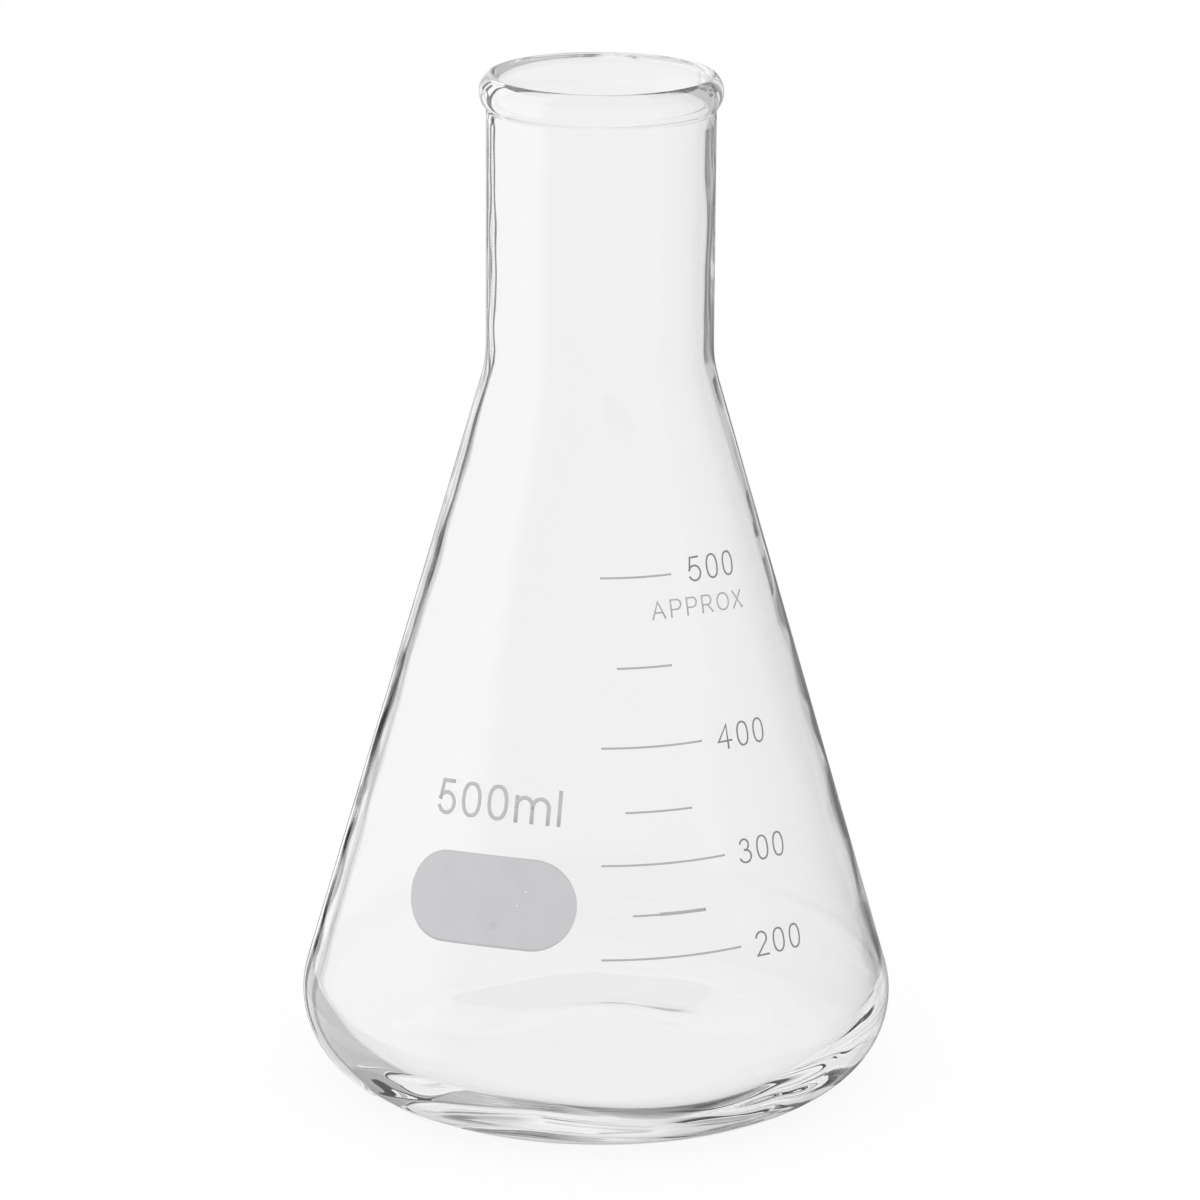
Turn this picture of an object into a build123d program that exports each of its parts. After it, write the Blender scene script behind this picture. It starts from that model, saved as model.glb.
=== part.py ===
from build123d import *
from math import asin, atan2, cos, degrees, hypot, sin, sqrt, tan
import os

# A conical flask for half a litre. The glass is blown in one piece, with a cone, a straight neck
# and a bead round the mouth. The scale and a spot to write on are a thin film of enamel, fired
# onto the outside of the cone. The flask stands on z = 0 with its axis on Z. The print faces -Y,
# and angles round the axis start at that front and grow towards +X. All sizes are in millimetres.

# Outside form of the glass
height = 180.0  # foot to lip
body_d = 105.0  # widest place, low on the heel
neck_d = 39.5  # outside of the straight neck
shoulder_z = 129.6  # where the lines of the cone and the neck would cross
shoulder_round = 22.0  # bend from the cone into the neck
heel_round = 14.3  # bend from the foot into the cone
foot_ring = 3.0  # width of the flat ring that the flask stands on
push_up = 1.8  # how far the middle of the base is raised
push_up_d = 32.0  # flat part of the raised middle

# Bead round the mouth
bead_swell = 1.2  # how far it stands out from the neck
bead_round = 3.9  # radius of its section
bead_foot_fillet = 0.4
lip_round = 1.0  # fire-polished edge of the mouth

# Thickness of the glass
neck_wall = 1.7
cone_foot_wall = 1.3
base_wall = 2.8  # in the raised middle, under the flat floor
inner_heel_round = 12.0

# Enamel film
film = 0.1
mark_width = 0.4
spot_length = 32.0
spot_height = 15.7
spot_z = 44.5
spot_angle = -25.0
spot_tilt = 2.5

# Heights of the marks by their millilitres, as printed. They only come near the true volumes.
mark_200_z = 36.2
mark_250_z = 43.3
mark_300_z = 51.6
mark_350_z = 60.2
mark_400_z = 70.8
mark_450_z = 83.8
mark_500_z = 98.6

# The angles where each mark starts and ends
scale = (
    (mark_200_z, 1.3, 31.8),
    (mark_250_z, 8.2, 24.3),
    (mark_300_z, 1.3, 30.9),
    (mark_350_z, 7.2, 23.7),
    (mark_400_z, 1.3, 28.7),
    (mark_450_z, 5.9, 22.1),
    (mark_500_z, 0.8, 25.1),
)

neck_r = neck_d / 2
bore_r = neck_r - neck_wall
foot_r = body_d / 2 - heel_round  # outer edge of the foot ring, where the heel begins
front = Rot(0, 0, -90)  # turns +X to the front

# The cone's line touches the round of the heel and runs to the shoulder's corner.
reach = foot_r - neck_r
rise = shoulder_z - heel_round
lean = asin(heel_round / hypot(reach, rise)) + atan2(reach, rise)


def on_cone(z, out=0.0):
    """Radius and height of the point that lies out from the cone's face at height z."""
    return neck_r + (shoulder_z - z) * tan(lean) + out * cos(lean), z + out * sin(lean)


def rounded(half, corner, radius):
    """The half section with its vertex nearest to the corner rounded off."""
    return fillet(half.vertices().sort_by_distance((*corner, 0))[0], radius)


def raised_middle():
    """Half of the low plug that lifts the middle of the base inside its ring."""
    flat_r = push_up_d / 2
    ring_r = foot_r - foot_ring
    return make_face(Polyline((0, 0), (ring_r, 0), (flat_r, push_up), (0, push_up), close=True))


def filled_half(foot_z, foot_corner_r, side_r, corner_z, top_z):
    """Half of a cone and neck with sharp corners, from the foot's height to the top."""
    corners = ((0, foot_z), (foot_corner_r, foot_z), (side_r, corner_z), (side_r, top_z), (0, top_z))
    return make_face(Polyline(*corners, close=True))


def outline_half(bead_z):
    """Half of the outer form, filled up to the middle of the bead."""
    half = filled_half(0, on_cone(0)[0], neck_r, shoulder_z, bead_z)
    half = rounded(half, on_cone(0), heel_round)
    half = rounded(half, (neck_r, shoulder_z), shoulder_round)
    return half - raised_middle()


def hollow_half():
    """Half of the hollow inside, from its flat floor out of the mouth."""
    floor_z = push_up + base_wall
    floor_corner_r = on_cone(floor_z)[0] - cone_foot_wall / cos(lean)
    shoulder_corner = (bore_r, shoulder_z - neck_wall * tan(lean / 2))
    half = filled_half(floor_z, floor_corner_r, *shoulder_corner, height + bead_round)
    half = rounded(half, (floor_corner_r, floor_z), inner_heel_round)
    return rounded(half, shoulder_corner, shoulder_round + neck_wall)


def glass():
    """The blown body: its half section turned round the axis."""
    # The bead's circle sits so that the rounded lip ends at the full height.
    bead_r = neck_r + bead_swell - bead_round
    lip_r = bore_r + lip_round
    bead_z = height - lip_round - sqrt((bead_round - lip_round) ** 2 - (lip_r - bead_r) ** 2)
    bead_foot_z = bead_z - sqrt(bead_round**2 - (neck_r - bead_r) ** 2)

    half = outline_half(bead_z) + Pos(bead_r, bead_z) * Circle(bead_round) - hollow_half()
    half = rounded(half, (neck_r, bead_foot_z), bead_foot_fillet)
    half = rounded(half, (bore_r, height), lip_round)
    return revolve(Plane.XZ * half, Axis.Z)


def film_band(low, high, start, end):
    """Film on the cone between two heights, from the start angle to the end angle."""
    corners = (on_cone(low), on_cone(high), on_cone(high, film), on_cone(low, film))
    strip = revolve(Plane.XZ * make_face(Polyline(*corners, close=True)), Axis.Z, end - start)
    return front * Rot(0, 0, start) * strip


def graduation_lines():
    """One thin line on the cone for each mark of the scale."""
    half_rise = mark_width / 2 * cos(lean)
    return [
        film_band(z - half_rise, z + half_rise, start, end) for z, start, end in scale
    ]


def marking_spot():
    """A spot with round ends that follows the cone, a little tilted as it is printed."""
    r, z = on_cone(spot_z)
    bend_r = r / cos(lean)  # how the cone curves across the spot
    seen_length = 2 * bend_r * sin(spot_length / 2 / bend_r)
    face_on = Plane(origin=(0, -r, z), x_dir=(1, 0, 0), z_dir=(0, -cos(lean), sin(lean)))
    stencil = face_on * SlotOverall(seen_length, spot_height, rotation=spot_tilt)
    half_turn = degrees(spot_length / r)
    band = film_band(z - spot_height, z + spot_height, -half_turn, half_turn)
    return Rot(0, 0, spot_angle) * (extrude(stencil, amount=spot_length / 2, both=True) & band)


os.makedirs("parts", exist_ok=True)
export_step(glass(), "parts/flask.step")
export_step(Compound(children=graduation_lines()), "parts/graduation_lines.step")
export_step(marking_spot(), "parts/marking_spot.step")
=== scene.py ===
from math import asin, atan2, copysign, cos, hypot, pi, radians, sin, sqrt, tan

import bmesh
import bpy
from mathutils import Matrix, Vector, noise


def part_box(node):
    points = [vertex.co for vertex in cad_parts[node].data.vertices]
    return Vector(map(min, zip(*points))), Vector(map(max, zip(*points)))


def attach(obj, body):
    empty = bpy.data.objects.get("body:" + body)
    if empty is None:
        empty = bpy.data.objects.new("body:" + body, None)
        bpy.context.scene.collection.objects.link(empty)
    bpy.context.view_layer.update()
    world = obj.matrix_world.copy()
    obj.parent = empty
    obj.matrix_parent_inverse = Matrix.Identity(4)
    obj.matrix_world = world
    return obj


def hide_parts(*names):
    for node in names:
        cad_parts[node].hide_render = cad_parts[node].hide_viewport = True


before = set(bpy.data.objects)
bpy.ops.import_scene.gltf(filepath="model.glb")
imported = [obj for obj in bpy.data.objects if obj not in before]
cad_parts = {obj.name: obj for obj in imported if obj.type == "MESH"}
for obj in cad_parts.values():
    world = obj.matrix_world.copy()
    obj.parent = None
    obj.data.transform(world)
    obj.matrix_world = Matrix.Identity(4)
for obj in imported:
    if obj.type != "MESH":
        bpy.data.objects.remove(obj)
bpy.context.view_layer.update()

# The flask is blown from borosilicate glass in one piece: a cone, a straight neck, a bead round the
# mouth, and a base whose middle is pushed up under a flat floor. The outside is smooth from its mould.
# The inside is free of the mould, so it is a little wavy. Lengths are in millimetres.
MM = 0.001
low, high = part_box("flask")
height = (high.z - low.z) / MM
body_r = (high.x - low.x) / 2 / MM
neck_r = 19.75
shoulder_z = 129.6
shoulder_round = 22.0
heel_round = 14.3
neck_wall = 1.7
cone_foot_wall = 1.3
base_wall = 2.8
inner_heel_round = 12.0
ring_width = 3.0
push_up = 1.8
push_up_r = 14.0
ring_blend = 35.0
middle_blend = 110.0
bead_swell = 1.2
bead_round = 3.9
bead_cuts = 30
bead_foot_cuts = 2  # cuts of the bead that its soft foot takes
bead_foot_drop = 0.3
lip_round = 1.0
lip_cuts = 12

bore_r = neck_r - neck_wall
foot_r = body_r - heel_round
reach = foot_r - neck_r
rise = shoulder_z - heel_round
lean = asin(heel_round / hypot(reach, rise)) + atan2(reach, rise)
apex_z = shoulder_z + neck_r / tan(lean)


def cone_r(z):
    """Outside radius of the cone at height z."""
    return neck_r + (shoulder_z - z) * tan(lean)


def arc(middle_r, middle_z, radius, start, end, cuts):
    """Points on a circle from one angle to another, both ends among them."""
    points = []
    for k in range(cuts + 1):
        a = start + (end - start) * k / cuts
        points.append(Vector((middle_r + radius * cos(a), middle_z + radius * sin(a))))
    return points


def rounded_line(corners, step=1.9, turn=radians(5)):
    """Points along a line whose corners (r, z, round) are turned by arcs, no further apart than a step."""
    stops = []
    for index, (r, z, bend) in enumerate(corners):
        here = Vector((r, z))
        if bend == 0 or index in (0, len(corners) - 1):
            stops.append([here])
            continue
        back = (Vector(corners[index - 1][:2]) - here).normalized()
        on = (Vector(corners[index + 1][:2]) - here).normalized()
        half = back.angle(on) / 2
        middle = here + (back + on).normalized() * bend / sin(half)
        swing = pi - 2 * half
        first = here + back * bend / tan(half) - middle
        way = 1 if back.x * on.y - back.y * on.x < 0 else -1
        count = max(3, round(swing / turn))
        stop = []
        for k in range(count + 1):
            a = way * swing * k / count
            x = first.x * cos(a) - first.y * sin(a)
            y = first.x * sin(a) + first.y * cos(a)
            stop.append(middle + Vector((x, y)))
        stops.append(stop)
    points = []
    for stop in stops:
        if points:
            gap = stop[0] - points[-1]
            cuts = max(1, round(gap.length / step))
            points += [points[-1] + gap * k / cuts for k in range(1, cuts)]
        points += stop
    return points


bead_r = neck_r + bead_swell - bead_round
lip_r = bore_r + lip_round
bead_z = height - lip_round - sqrt((bead_round - lip_round) ** 2 - (lip_r - bead_r) ** 2)
bead_foot_z = bead_z - sqrt(bead_round**2 - (neck_r - bead_r) ** 2)
lip_z = height - lip_round
lip_start = atan2(lip_z - bead_z, lip_r - bead_r)
bead_start = atan2(bead_foot_z - bead_z, neck_r - bead_r)
floor_z = push_up + base_wall
floor_corner_r = cone_r(floor_z) - cone_foot_wall / cos(lean)
inner_shoulder_z = shoulder_z - neck_wall * tan(lean / 2)

outside = rounded_line(
    (
        (0, push_up, 0),
        (push_up_r, push_up, middle_blend),
        (foot_r - ring_width, 0, ring_blend),
        (cone_r(0), 0, heel_round),
        (neck_r, shoulder_z, shoulder_round),
        (neck_r, bead_foot_z - bead_foot_drop, 0),
    )
)
bead = arc(bead_r, bead_z, bead_round, bead_start, lip_start, bead_cuts)[bead_foot_cuts:]
lip = arc(lip_r, lip_z, lip_round, lip_start, pi, lip_cuts)[1:]
inside = rounded_line(
    (
        (bore_r, lip_z - lip_round, 0),
        (bore_r, inner_shoulder_z, shoulder_round + neck_wall),
        (floor_corner_r, floor_z, inner_heel_round),
        (0, floor_z, 0),
    )
)
profile = outside + bead + lip + inside
inner_from = len(outside) + len(bead) + len(lip)

# The waves of the inside, which die out towards the lip, and finer ones on top of them
wave_depth = 0.13
wave_height = 16.0
waves_round = 1.3
fine_depth = 0.05
how_much_finer = 2.7
fine_place = Vector((9, 4, 7))
calm_below_lip = 12.0

# The floor's edge stands higher where the soft glass ran down thicker: by how much, at which angle
# from +X, and how narrowly. It comes in from one radius outwards and dies out up the wall.
thick_places = ((1.0, radians(254), 10), (0.35, radians(322), 20))
edge_wave = 0.3
edge_waves_round = 4
edge_wave_place = 1.5
edge_from_r = 26.0
edge_full_in = 12.0
edge_top_z = 16.0
edge_dies_in = 9.0


def ripple(angle, z):
    """How far the wavy inside of the glass lies off its true radius."""
    at = Vector((cos(angle) * waves_round, sin(angle) * waves_round, z / wave_height))
    return wave_depth * noise.noise(at) + fine_depth * noise.noise(at * how_much_finer + fine_place)


def run_down(angle, r):
    """How much higher the floor's edge is where the soft glass ran down thicker."""
    thick = sum(tall * max(0, cos(angle - at)) ** narrow for tall, at, narrow in thick_places)
    place = Vector((cos(angle) * edge_waves_round, sin(angle) * edge_waves_round, edge_wave_place))
    wave = edge_wave * noise.noise(place)
    return (thick + wave) * min(1, max(0, (r - edge_from_r) / edge_full_in))


def turned(line, wavy_from, sides=300):
    """The line of (radius, height) points turned round the axis, with its inner part made wavy."""
    mesh = bmesh.new()
    rings = []
    for index, point in enumerate(line):
        if point.x < 1e-6:
            rings.append([mesh.verts.new((0, 0, point.y * MM))])
            continue
        ring = []
        for k in range(sides):
            a = 2 * pi * k / sides
            r, z = point
            if index >= wavy_from:
                r -= ripple(a, point.y) * min(1, max(0, (lip_z - point.y) / calm_below_lip))
                z += run_down(a, point.x) * min(1, max(0, (edge_top_z - point.y) / edge_dies_in))
            ring.append(mesh.verts.new((r * cos(a) * MM, r * sin(a) * MM, z * MM)))
        rings.append(ring)
    for one, two in zip(rings, rings[1:]):
        for k in range(sides):
            n = (k + 1) % sides
            if len(one) == 1:
                mesh.faces.new((one[0], two[n], two[k]))
            elif len(two) == 1:
                mesh.faces.new((one[k], one[n], two[0]))
            else:
                mesh.faces.new((one[k], one[n], two[n], two[k]))
    return mesh


def finished(name, mesh, coat, material_slot, *nodes):
    """The piece that a mesh becomes, with its coat, riding on the body and standing for the nodes."""
    bmesh.ops.recalc_face_normals(mesh, faces=mesh.faces)
    data = bpy.data.meshes.new(name)
    mesh.to_mesh(data)
    mesh.free()
    data.shade_smooth()
    data.materials.append(coat)
    piece = bpy.data.objects.new(name, data)
    bpy.context.collection.objects.link(piece)
    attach(piece, "root")
    if nodes:
        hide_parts(*nodes)


class Shade:
    """A shader socket that works in sums: values go through Math nodes, and node() adds any other."""

    def __init__(self, tree, socket=None):
        self.tree = tree
        self.socket = socket

    def node(self, kind, settings=(), out=0, **sockets):
        """A new node. Its sockets are given by name, or by number as i0, i1 and so on."""
        made = self.tree.nodes.new("ShaderNode" + kind)
        for name, value in dict(settings).items():
            setattr(made, name, value)
        for name, value in sockets.items():
            key = int(name[1:]) if name[1:].isdigit() else name.replace("_", " ")
            if isinstance(value, Shade):
                self.tree.links.new(value.socket, made.inputs[key])
            else:
                made.inputs[key].default_value = value
        return Shade(self.tree, made.outputs[out] if made.outputs else None)

    def also(self, name):
        """Another output of the same node."""
        return Shade(self.tree, self.socket.node.outputs[name])

    def rise(self, start, end):
        """0 before the start and 1 past the end, with a soft change between."""
        how = {"interpolation_type": "SMOOTHSTEP"}
        return self.node("MapRange", how, i0=self, i1=start, i2=end, i3=0.0, i4=1.0)

    def within(self, start, full, wane, end):
        """1 from full to wane and 0 outside start and end, with soft changes between."""
        return self.rise(start, full) * self.rise(end, wane)

    def mixed(self, other, share):
        """This value where the share is 0, and the other where it is 1."""
        return self + share * (other - self)

    def sum(self, operation, one, two):
        """What one Math node makes of two values."""
        return self.node("Math", {"operation": operation}, i0=one, i1=two)

    def __add__(self, other):
        return self.sum("ADD", self, other)

    def __radd__(self, other):
        return self.sum("ADD", other, self)

    def __sub__(self, other):
        return self.sum("SUBTRACT", self, other)

    def __rsub__(self, other):
        return self.sum("SUBTRACT", other, self)

    def __mul__(self, other):
        return self.sum("MULTIPLY", self, other)

    def __rmul__(self, other):
        return self.sum("MULTIPLY", other, self)

    def __gt__(self, other):
        return self.sum("GREATER_THAN", self, other)

    def __lt__(self, other):
        return self.sum("LESS_THAN", self, other)


def material(name):
    """A new material and the Shade that its nodes start from."""
    made = bpy.data.materials.new(name)
    made.use_nodes = True
    made.node_tree.nodes.clear()
    return made, Shade(made.node_tree)


# Shadow rays, and rays that have bounced many times, pass straight through the glass.
most_bounces = 12
clear_glass, ink = material("clear_glass")
seen = ink.node(
    "BsdfPrincipled",
    Base_Color=(0.968, 0.969, 0.969, 1),
    Roughness=0.0,
    IOR=1.473,
    Transmission_Weight=1.0,
)
lets_light = ink.node("BsdfTransparent", Color=(0.95, 0.95, 0.95, 1))
shadow_ray = ink.node("LightPath", out="Is Shadow Ray")
spent = ink.node("LightPath", out="Ray Depth") > most_bounces
passes = ink.sum("MAXIMUM", shadow_ray, spent)
both = ink.node("MixShader", i0=passes, i1=seen, i2=lets_light)
ink.node("OutputMaterial", Surface=both)

finished("flask_glass", turned(profile, inner_from), clear_glass, "glass", "flask")

# The scale is ceramic enamel, screened onto the outside of the cone and fired into it: seven lines, one
# for each 50 ml. Like all the print it is laid out on the cone unrolled flat, with the cone's point at
# the middle, and it stands a little out of the glass.
film = 0.07
sunk = 0.03
soft_side = 0.4  # height of a stroke's edge, as a share of the film
flat_part = 0.7  # how much of a stroke's width is full height
uneven = 0.10  # how much its width changes
blobs = 1.7  # how quickly it does


def flat_point(angle, z):
    """Where a point of the cone, by its angle from the front and its height, lies on the unrolled cone."""
    slant = (apex_z - z) / cos(lean)
    swing = radians(angle) * sin(lean)
    return Vector((slant * sin(swing), -slant * cos(swing)))


def on_glass(point, out):
    """The point of the unrolled cone back in its place on the flask, by so much outside the glass."""
    slant = point.length
    angle = atan2(point.x, -point.y) / sin(lean)
    r = slant * sin(lean) + out * cos(lean)
    z = apex_z - slant * cos(lean) + out * sin(lean)
    return Vector((r * sin(angle), -r * cos(angle), z)) * MM


def band(mesh, path, pen, closed=False):
    """Lays one stroke of the pen along a path on the unrolled cone, with soft edges and square ends."""
    points = list(path)
    if not closed:
        points[0] = points[0] + (points[0] - points[1]).normalized() * pen / 2
        points[-1] = points[-1] + (points[-1] - points[-2]).normalized() * pen / 2
    last = len(points) - 1
    edge = film * soft_side
    section = ((-1, -sunk), (-1, edge), (-flat_part, film), (flat_part, film), (1, edge), (1, -sunk))
    rows = []
    for k, point in enumerate(points):
        back = points[k - 1] if k > 0 or closed else point
        on = points[(k + 1) % len(points)] if k < last or closed else point
        one = point - back
        two = on - point
        one = one.normalized() if one.length > 0 else two.normalized()
        two = two.normalized() if two.length > 0 else one
        along = (one + two).normalized()
        aside = Vector((-along.y, along.x))
        widen = 1 / max(0.5, along.dot(one))
        blob = noise.noise(Vector((point.x, point.y, 3)) * blobs)
        width = pen / 2 * widen * (1 + uneven * blob)
        row = [on_glass(point + aside * (side * width), out) for side, out in section]
        rows.append([mesh.verts.new(place) for place in row])
    corners = len(section)
    for k in range(last + closed):
        one = rows[k]
        two = rows[(k + 1) % len(rows)]
        for j in range(corners):
            n = (j + 1) % corners
            mesh.faces.new((one[j], one[n], two[n], two[j]))
    if not closed:
        mesh.faces.new(rows[0])
        mesh.faces.new(rows[-1])


def level_path(z, start, end, cuts):
    """Points on the unrolled cone that run level round the flask, from one angle to another."""
    return [flat_point(start + (end - start) * k / cuts, z) for k in range(cuts + 1)]


def enamel(name, shade, flaws=()):
    """Fired enamel of one grey: a little cloudy, finely grained and satin.

    A flaw is a place, the radius that it reaches, and how much lighter its middle is.
    """
    cloudy = 0.10
    grainy = 0.08
    bluer = 1.03
    flaw_core = 0.3
    satin = 0.45
    coat, ink = material(name)
    place = ink.node("TexCoord", out="Object")
    cloud = ink.node("TexNoise", Vector=place, Scale=260.0, Detail=3.0) - 0.5
    grain = ink.node("TexNoise", Vector=place, Scale=4200.0, Detail=1.0) - 0.5
    level = shade * (1 + cloud * cloudy + grain * grainy)
    for where, size, change in flaws:
        off = ink.node("VectorMath", {"operation": "DISTANCE"}, "Value", i0=place, i1=where)
        level = level + off.rise(size, size * flaw_core) * change
    colour = ink.node("CombineColor", Red=level, Green=level, Blue=level * bluer)
    gloss = satin + cloud * 0.2
    skin = ink.node("BsdfPrincipled", Base_Color=colour, Roughness=gloss, IOR=1.5)
    ink.node("OutputMaterial", Surface=skin)
    return coat


# Each mark's height, and the angles where it starts and ends
marks = (
    (36.2, 1.3, 31.8),
    (43.3, 8.2, 24.3),
    (51.6, 1.3, 30.9),
    (60.2, 7.2, 23.7),
    (70.8, 1.3, 28.7),
    (83.8, 5.9, 22.1),
    (98.6, 0.8, 25.1),
)
mark_pen = 0.34
# The 250 line took more enamel over its right part.
thick_part = (43.35, 14.4, 24.3)
thick_pen = 0.56

line_enamel = enamel("line_enamel", 0.41)
mesh = bmesh.new()
for z, start, end in marks:
    band(mesh, level_path(z, start, end, max(8, round((end - start) * 1.5))), mark_pen)
band(mesh, level_path(*thick_part, 12), thick_pen)
finished("scale_lines", mesh, line_enamel, "enamel", "graduation_lines")


# The numbers beside the long lines, and the word below the top one, are drawn with a pen of even width.
# A letter's strokes are given for a height of 1, with x from its middle and y from the foot, and its
# half width tells how far it takes up room.
def bow(x, y, wide, tall, start, end, square=2.0):
    """Points on an oval from one angle to another, squarer for a higher power."""
    steps = max(6, round(abs(end - start) / 10))
    points = []
    for k in range(steps + 1):
        a = radians(start + (end - start) * k / steps)
        u = copysign(abs(cos(a)) ** (2 / square), cos(a))
        v = copysign(abs(sin(a)) ** (2 / square), sin(a))
        points.append((x + wide * u, y + tall * v))
    return points


letters = {
    "0": (0.295, [bow(0, 0.5, 0.295, 0.5, 0, 350, 2.3)]),
    "2": (0.29, [bow(0, 0.72, 0.27, 0.28, 168, -28) + [(-0.29, 0), (0.3, 0)]]),
    "3": (0.29, [bow(-0.03, 0.76, 0.23, 0.24, 160, -75), bow(-0.02, 0.27, 0.3, 0.27, 92, -160)]),
    "4": (0.34, [[(0.15, 0), (0.15, 1), (-0.34, 0.31), (0.34, 0.31)]]),
    "5": (0.3, [[(0.22, 1), (-0.17, 1), (-0.26, 0.46)], bow(-0.01, 0.32, 0.3, 0.32, 152, -152)]),
    "m": (
        0.52,
        [
            [(-0.52, 0), (-0.52, 0.74)],
            bow(-0.26, 0.45, 0.26, 0.29, 180, 0) + [(0, 0)],
            bow(0.26, 0.45, 0.26, 0.29, 180, 0) + [(0.52, 0)],
        ],
    ),
    "l": (0.0, [[(0, 0), (0, 1)]]),
    "A": (0.39, [[(-0.39, 0), (0, 1), (0.39, 0)], [(-0.25, 0.34), (0.25, 0.34)]]),
    "P": (0.33, [[(-0.33, 0), (-0.33, 1)] + bow(0.04, 0.71, 0.29, 0.29, 90, -90) + [(-0.33, 0.42)]]),
    "R": (
        0.36,
        [
            [(-0.36, 0), (-0.36, 1)] + bow(0.02, 0.72, 0.28, 0.28, 90, -90) + [(-0.36, 0.44)],
            [(0.02, 0.44), (0.38, 0)],
        ],
    ),
    "O": (0.46, [bow(0, 0.5, 0.46, 0.5, 0, 350, 2.15)]),
    "X": (0.38, [[(-0.36, 1), (0.39, 0)], [(0.36, 1), (-0.39, 0)]]),
}
rings = "0O"


def askew(angle, z, tilt):
    """A middle on the unrolled cone, and the ways along and up from it for print with that tilt."""
    turn = radians(angle) * sin(lean) + radians(tilt)
    return flat_point(angle, z), Vector((cos(turn), sin(turn))), Vector((-sin(turn), cos(turn)))


def wording(mesh, text, angle, z, tall, pen, gap, tilt):
    """Writes a text round its middle on the cone. Heights are along the middle of the strokes."""
    middle, across, up = askew(angle, z, tilt)
    room = sum(2 * letters[letter][0] for letter in text) + gap * (len(text) - 1)
    x = -room / 2
    for letter in text:
        half, strokes = letters[letter]
        x += half
        for stroke in strokes:
            path = [middle + across * ((x + u) * tall) + up * ((v - 0.5) * tall) for u, v in stroke]
            band(mesh, path, pen, closed=letter in rings)
        x += half + gap


numbers = (("500", 42.5, 98.75), ("400", 42.2, 70.6), ("300", 42.2, 51.4), ("200", 42.1, 35.8))
number_enamel = enamel("number_enamel", 0.235)
mesh = bmesh.new()
for text, angle, z in numbers:
    wording(mesh, text, angle, z, tall=4.0, pen=0.33, gap=0.37, tilt=-3.0)
finished("scale_numbers", mesh, number_enamel, "enamel")
mesh = bmesh.new()
wording(mesh, "APPROX", 35.5, 92.9, tall=2.85, pen=0.28, gap=0.43, tilt=-2.6)
finished("scale_word", mesh, line_enamel, "enamel")

# What the flask holds is printed large over the spot to write on, with a wider pen and in a paler
# enamel than the numbers.
word_enamel = enamel("word_enamel", 0.465)
mesh = bmesh.new()
wording(mesh, "500ml", -25.9, 60.7, tall=5.5, pen=0.66, gap=0.345, tilt=2.6)
finished("capacity", mesh, word_enamel, "enamel")

# The spot to write on is a wide patch of the same enamel with round ends, screened a little askew. Its
# enamel has two pinholes and a faint blotch.
spot_length = 32.0
spot_height = 15.7
spot_angle = -25.0
spot_z = 44.5
spot_tilt = 2.5
spot_middle, spot_along, spot_up = askew(spot_angle, spot_z, spot_tilt)
end_r = spot_height / 2
straight = spot_length / 2 - end_r
end_cuts = 12
side_cuts = 16
rows = 24


def spot_point(u, v):
    """A place on the unrolled cone, from the middle of the spot along and across it."""
    return spot_middle + spot_along * u + spot_up * v


# Along and across the spot, the radius in metres, and how much lighter
spot_flaws = (
    (7.0, 2.25, 0.00018, 0.35),
    (5.6, -0.3, 0.00017, 0.35),
    (1.5, -4.05, 0.0011, -0.035),
)
flaws = [(on_glass(spot_point(u, v), film), size, change) for u, v, size, change in spot_flaws]
spot_enamel = enamel("spot_enamel", 0.52, flaws)

columns = []
for k in range(end_cuts + 1):
    a = pi / 2 * k / end_cuts
    columns.append((-straight - end_r * cos(a), end_r * sin(a)))
for k in range(1, side_cuts):
    columns.append((-straight + 2 * straight * k / side_cuts, end_r))
columns += [(-u, half) for u, half in reversed(columns[: end_cuts + 1])]
mesh = bmesh.new()
grid = []
for u, half in columns:
    points = [spot_point(u, half * (2 * j / rows - 1)) for j in range(rows + 1)]
    face = [mesh.verts.new(on_glass(point, film)) for point in points]
    foot = [mesh.verts.new(on_glass(point, -sunk)) for point in points]
    grid.append((face, foot))
for one, two in zip(grid, grid[1:]):
    for j in range(rows):
        mesh.faces.new((one[0][j], one[0][j + 1], two[0][j + 1], two[0][j]))
        mesh.faces.new((one[1][j], one[1][j + 1], two[1][j + 1], two[1][j]))
    for j in (0, rows):
        mesh.faces.new((one[0][j], one[1][j], two[1][j], two[0][j]))
# The rows meet in a point at each end of the spot.
bmesh.ops.remove_doubles(mesh, verts=mesh.verts, dist=0.01 * MM)
bmesh.ops.dissolve_degenerate(mesh, dist=0.005 * MM, edges=mesh.edges)
finished("writing_spot", mesh, spot_enamel, "enamel", "marking_spot")

# The set is a table covered with white paper. Glass doesn't show the table: its rays go on to the
# studio below, so that what shines through the flask is as white as what lies beside it.
half_table = 3.0
under_foot = 0.2
own_white = 0.86
corners = ((-1, -1), (1, -1), (1, 1), (-1, 1))
table = bpy.data.objects.new("table", bpy.data.meshes.new("table"))
table.data.from_pydata([(x * half_table, y * half_table, 0) for x, y in corners], [], [(0, 1, 2, 3)])
table.location.z = -under_foot * MM
table.visible_glossy = False
table.visible_transmission = False
bpy.context.collection.objects.link(table)
paper, ink = material("white_paper")
camera_ray = ink.node("LightPath", out="Is Camera Ray")
matt = ink.node("BsdfDiffuse", Color=(0.96, 0.96, 0.96, 1))
white = ink.node("Emission", Color=(1, 1, 1, 1), Strength=1.0)
both = ink.node("MixShader", i0=camera_ray * own_white, i1=matt, i2=white)
ink.node("OutputMaterial", Surface=both)
paper.cycles.emission_sampling = "NONE"
table.data.materials.append(paper)

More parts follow.
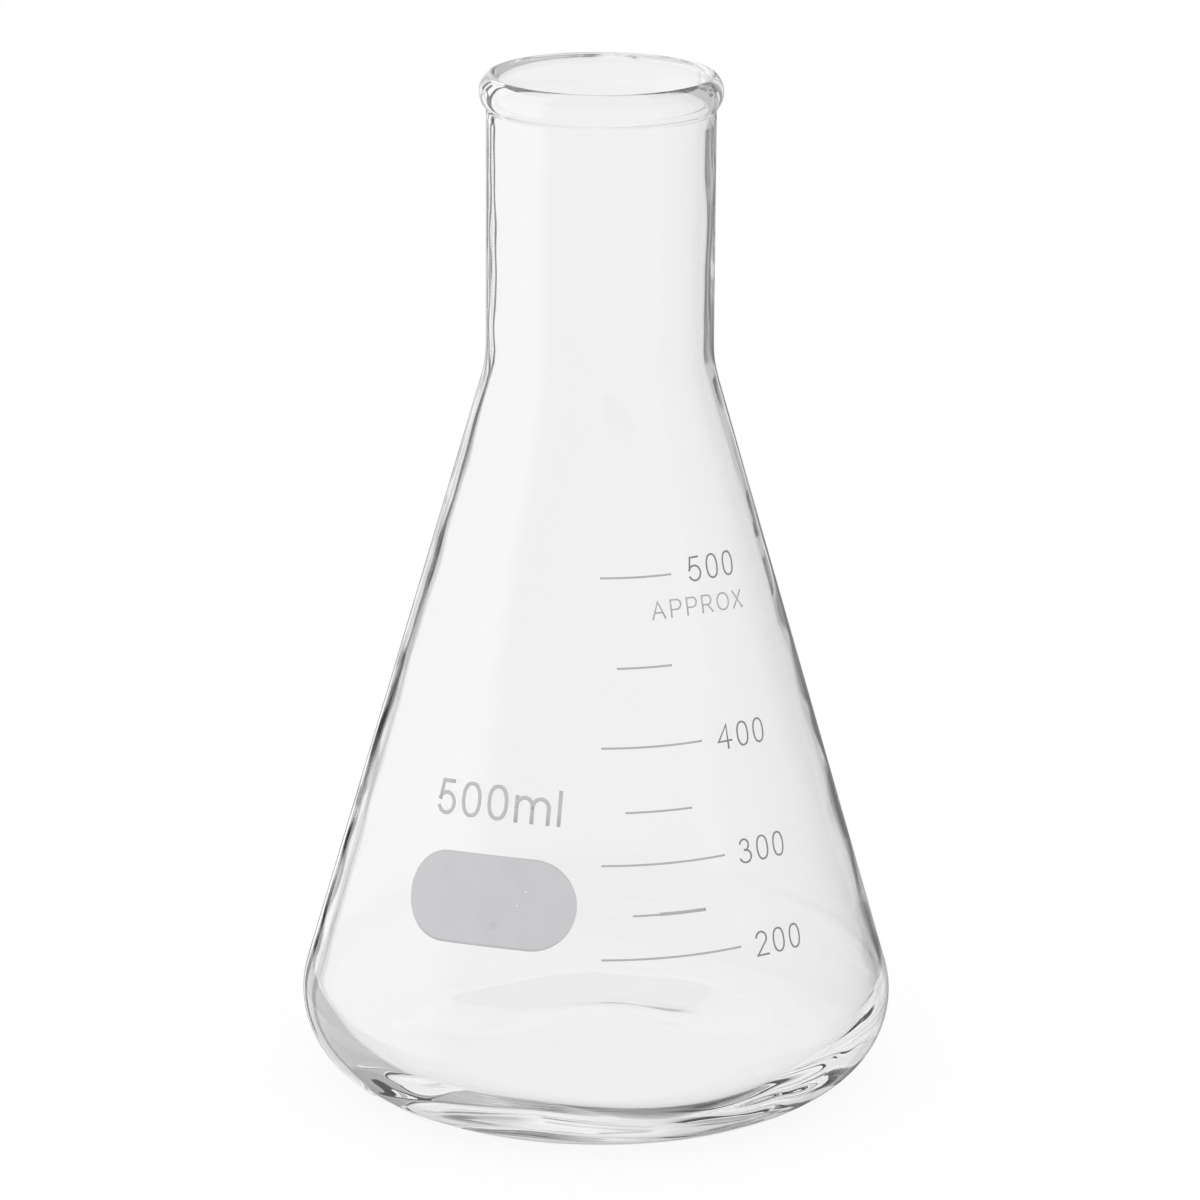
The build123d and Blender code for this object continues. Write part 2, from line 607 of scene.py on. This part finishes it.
# The studio is white where it is seen straight or through the glass. What the outside and the walls of
# the flask mirror is a darker room with pale and dark boards in it. Light that was mirrored within the
# hollow, and so has passed glass more than twice, finds it bright.
world = bpy.data.worlds.new("studio")
world.use_nodes = True
world.node_tree.nodes.clear()
bpy.context.scene.world = world
ink = Shade(world.node_tree)
camera_ray = ink.node("LightPath", out="Is Camera Ray")
diffuse_ray = ink.node("LightPath", out="Is Diffuse Ray")
mirrors = ink.node("LightPath", out="Glossy Depth")
mirrored = mirrors > 0.5
once = mirrors < 1.5
inward = ink.node("LightPath", out="Transmission Depth") > 2.5

# Directions: degrees to the right of the flask's far side, the same to either side with a soft
# unevenness, and the sine of the angle upwards
toward = ink.node("TexCoord", out="Generated")
across = ink.node("SeparateXYZ", Vector=toward)
along = across.also("Y")
upward = across.also("Z")
turn = ink.sum("ARCTAN2", across, along) * (180 / pi)
streaks = ink.node("TexNoise", Vector=toward, Scale=7.0, Detail=2.0, Roughness=0.5).rise(0.36, 0.64)
wander = ink.node("TexNoise", Vector=toward, Scale=4.0, Detail=1.0)
off_line = ink.node("Math", {"operation": "ABSOLUTE"}, i0=turn) + (wander - 0.5) * 3

# On the left: a white board with a dark gap, and a dark post that leans
dark_gap = 0.05
left_board = dark_gap + off_line.rise(36.5, 34) + off_line.rise(39.5, 42) * 0.92
post_line = off_line - upward.rise(-0.235, -0.115) * 10.5
post = post_line.within(17, 19.5, 24, 26) * upward.rise(-0.46, -0.42)
dark_post = 0.02 + upward.rise(-0.235, -0.2) * streaks * 0.1
left_room = left_board.mixed(dark_post, post)

# On the right: a dark edge, a white gap and a grey board with a blotch. The neck mirrors what is lower
# than the cone does, and there the edge is wider and streaky, with a smear beside it.
dark_edge = 0.12
grey_board = 0.56
neck = upward.rise(-0.195, -0.21)
edge = (off_line - neck * 4.5).rise(17.5, 16) * off_line.rise(4, 8) * (1 - neck * streaks * 0.7)
gap = off_line.within(16, 17.5, 20.5, 22) * (1 - neck)
wall_z = upward - off_line * 0.005
smear = wall_z.within(-0.292, -0.286, -0.272, -0.264) * off_line.within(19, 22, 30, 33)
blotch = upward.rise(-0.18, -0.205) * off_line.rise(43, 38) * streaks
right_board = grey_board - blotch * 0.4 + gap * (1 - grey_board) - smear * (0.55 - streaks * 0.3)
right_room = right_board.mixed(dark_edge, edge)

# A grey stand close to the line on both sides, a dark floor that is painted shade, the bright room that
# the hollow sees, and the grey back of the room
grey_stand = 0.25
grey_back = 0.55
stand = off_line.within(4, 7, 11, 13.5) * upward.within(-0.46, -0.42, -0.17, -0.12)
# Painted shade: light mirrored once that heads steeply down finds a dark, streaky floor, which stands for
# the table's shade under the flask.
floor_shade_mask = upward.rise(-0.585, -0.62) * once
painted_floor_shade = 0.01 + streaks * 0.16
bright_room = 0.92 - turn.rise(-12, -30) * turn.rise(-120, -100) * 0.5
back = off_line.rise(106, 126) * (0.2 + once * 0.8)
room = left_room.mixed(right_room, turn.rise(-8, 8))
room = room.mixed(grey_stand, stand)
room = room.mixed(painted_floor_shade, floor_shade_mask)
room = room.mixed(bright_room, inward)
room = room.mixed(grey_back, back)

# What shows through the glass is nearly white, and a little greyer low down.
backdrop = 1 - (1 - inward) * 0.06 - upward.rise(-0.32, -0.36) * 0.03
shows = backdrop.mixed(room, mirrored)
level = camera_ray + diffuse_ray + (1 - camera_ray) * (1 - diffuse_ray) * shows
ink.node("OutputWorld", Surface=ink.node("Background", Color=(1, 1, 1, 1), Strength=level))

# One large soft lamp at the upper left gives the paper its faint shadow and the enamel its light. The
# glass doesn't show it.
lamp = bpy.data.objects.new("softbox", bpy.data.lights.new("softbox", "AREA"))
lamp.data.size = 0.8
lamp.data.energy = 3.0
lamp.location = (-0.5, -0.7, 1.1)
lamp_aim = Vector((0, 0, 0.08))
lamp.rotation_euler = (lamp_aim - lamp.location).to_track_quat("-Z", "Y").to_euler()
lamp.visible_glossy = False
lamp.visible_transmission = False
bpy.context.collection.objects.link(lamp)

# The camera stands where the photograph's did, about 0.9 m off and looking down at the flask. Its place
# and focal length were solved from the flask's outline.
photo_width = 1200
focal_length = 5330.995  # in the photograph's pixels
sensor = 36
looks_down = 16.77
roll = 0.006
camera = bpy.data.objects.new("camera", bpy.data.cameras.new("camera"))
camera.location = (0, -0.89672, 0.356334)
camera.rotation_mode = "ZYX"
camera.rotation_euler = (radians(90 - looks_down), 0, roll)
camera.data.sensor_width = sensor
camera.data.lens = focal_length / photo_width * sensor
camera.data.shift_x = 0.00135
bpy.context.collection.objects.link(camera)
bpy.context.scene.camera = camera

scene = bpy.context.scene
scene.view_settings.view_transform = "Standard"
scene.cycles.max_bounces = 24
scene.cycles.transmission_bounces = 24
scene.cycles.glossy_bounces = 24
scene.cycles.transparent_max_bounces = 24
